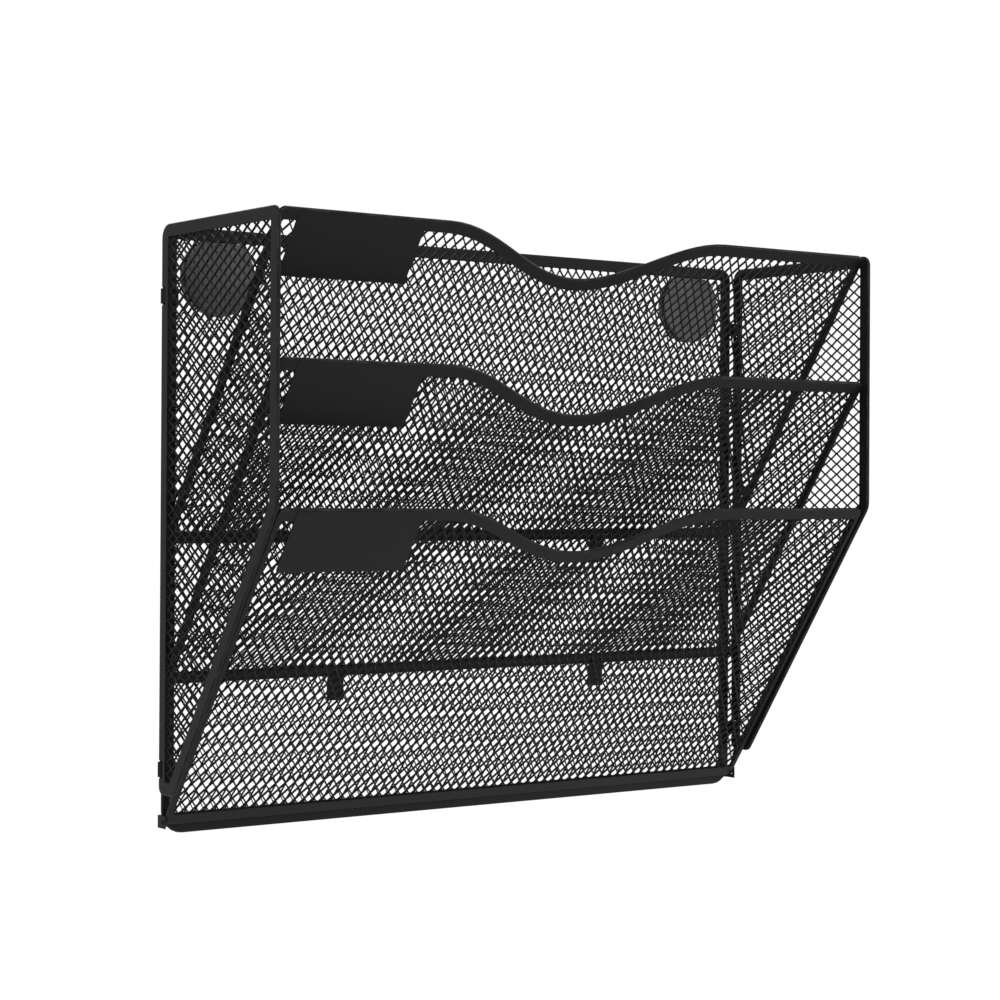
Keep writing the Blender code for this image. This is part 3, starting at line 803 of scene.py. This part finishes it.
def rounded_cap(cap):
    """A copy of a cap with its front edge rounded."""
    shape = working_copy(cap)
    front = min(point.co.y for point in shape.verts)
    edges = [edge for edge in sharp_edges(shape)
             if all(point.co.y < front + LEVEL for point in edge.verts)]
    round_edges(shape, edges, CAP_EDGE, 3)
    return to_mesh(cap, shape)


def magnet_profiles(side):
    """Profiles of the cup, the ceramic disc and the pad, from their measured boxes."""
    sizes = {}
    for part in ("magnet_cup", "magnet", "magnet_pad"):
        low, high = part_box(f"{part}_{side}")
        sizes[part] = ((high[0] - low[0]) / 2, -high[1], -low[1])
    radius, lip, front = sizes["magnet_cup"]
    disc_radius, disc_rear, disc_front = sizes["magnet"]
    pad_radius, pad_rear, pad_front = sizes["magnet_pad"]
    inner = radius - 1.2 * MM
    floor = front - 0.8 * MM
    shoulder = 0.7 * MM
    roll = 0.3 * MM
    cup = [(0.0, front)] + quarter((radius - shoulder, front - shoulder), shoulder, 90.0)
    cup += quarter((radius - roll, lip + roll), roll, 0.0) + quarter((inner + roll, lip + roll), roll, -90.0)
    cup += [(inner, floor), (0.0, floor)]
    chamfer = 0.25 * MM
    disc = [(0.0, disc_front), (disc_radius - chamfer, disc_front), (disc_radius, disc_front - chamfer),
            (disc_radius, disc_rear + chamfer), (disc_radius - chamfer, disc_rear), (0.0, disc_rear)]
    soft = 0.25 * MM
    pad = [(0.0, pad_front), (pad_radius, pad_front), (pad_radius, pad_rear + soft)]
    pad += quarter((pad_radius - soft, pad_rear + soft), soft, 0.0) + [(0.0, pad_rear)]
    return {"magnet_cup": cup, "magnet": disc, "magnet_pad": pad}


MAGNET_FINISH = {"magnet_cup": (zinc, "zinc_steel"), "magnet": (ceramic, "magnet_ceramic"),
                 "magnet_pad": (rubber, "pad_rubber")}
for side in SIDES:
    low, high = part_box(f"magnet_cup_{side}")
    middle = (Vector(low) + Vector(high)) / 2
    for part, profile in magnet_profiles(side).items():
        node = f"{part}_{side}"
        material, slot = MAGNET_FINISH[part]
        finish_piece(f"{node}_turned", turned(node, profile, middle), material, "back", slot, node)
    cap = f"magnet_cap_{side}"
    finish_piece(f"{cap}_turned", rounded_cap(cap), zinc, "back", "zinc_steel", cap)
    print("magnet", side, "at", tuple(round(value, 4) for value in middle))

# %% [markdown]
# ## Floor and light
#
# The rack hangs in front of a plain white surround with a pale floor well below it.  Broad soft
# lights stand in for a photographer's tent: a large one high on the left, a wide one on the
# right, and one behind that shows the edges.  The surround is bright to the camera, but lights
# the rack less, so the black coat keeps its depth.

# %% Floor
FLOOR_RADIUS = 1.1
FLOOR_DROP = 0.75


def build_floor_finish():
    material, tree, shader, bump = new_finish("pale_floor", 0.0, 0.2)
    place = tree.nodes.new("ShaderNodeTexCoord").outputs["Object"]
    clouds = noise(tree, place, 6.0, 5.0)
    colour = mix_colours(tree, clouds, (0.86, 0.86, 0.86), (0.9, 0.9, 0.895))
    tree.links.new(colour, shader.inputs["Base Color"])
    tree.links.new(remap(tree, clouds, 0.0, 1.0, 0.6, 0.8), shader.inputs["Roughness"])
    bump.inputs["Distance"].default_value = 0.1 * MM
    tree.links.new(noise(tree, place, 900.0, 2.0), bump.inputs["Height"])
    return material


shape = bmesh.new()
bmesh.ops.create_circle(shape, cap_ends=True, segments=96, radius=FLOOR_RADIUS,
                        matrix=Matrix.Translation((0.0, 0.0, -FLOOR_DROP)))
floor_mesh = bpy.data.meshes.new("floor")
shape.to_mesh(floor_mesh)
shape.free()
floor_mesh.materials.append(build_floor_finish())
floor = bpy.data.objects.new("floor", floor_mesh)
scene.collection.objects.link(floor)
print("floor", FLOOR_DROP, "m below the magnets")

# %% Surround and lights
SURROUND_LIGHT = 0.55


def build_surround():
    world = bpy.data.worlds.new("white_surround")
    world.use_nodes = True
    tree = world.node_tree
    shader = tree.nodes["Background"]
    shader.inputs["Color"].default_value = (1.0, 1.0, 1.0, 1.0)
    seen = tree.nodes.new("ShaderNodeLightPath").outputs["Is Camera Ray"]
    tree.links.new(remap(tree, seen, 0.0, 1.0, SURROUND_LIGHT, 1.02), shader.inputs["Strength"])
    return world


def add_light(name, place, target, size, watts):
    data = bpy.data.lights.new(name, "AREA")
    data.shape = "RECTANGLE"
    data.size, data.size_y = size
    data.energy = watts
    light = bpy.data.objects.new(name, data)
    aim = (Vector(target) - Vector(place)).to_track_quat("-Z", "Y")
    light.matrix_world = Matrix.Translation(place) @ aim.to_matrix().to_4x4()
    scene.collection.objects.link(light)


scene.world = build_surround()
add_light("key_light", (-1.3, -1.5, 1.1), (0.0, 0.0, -0.1), (1.2, 1.2), 16.0)
add_light("fill_light", (1.6, -1.2, 0.2), (0.0, 0.0, -0.1), (1.4, 1.6), 7.0)
add_light("back_light", (0.3, 1.5, 0.9), (0.0, 0.0, -0.1), (1.6, 0.8), 9.0)
scene.view_settings.view_transform = "Standard"
print("lights:", len(bpy.data.lights))
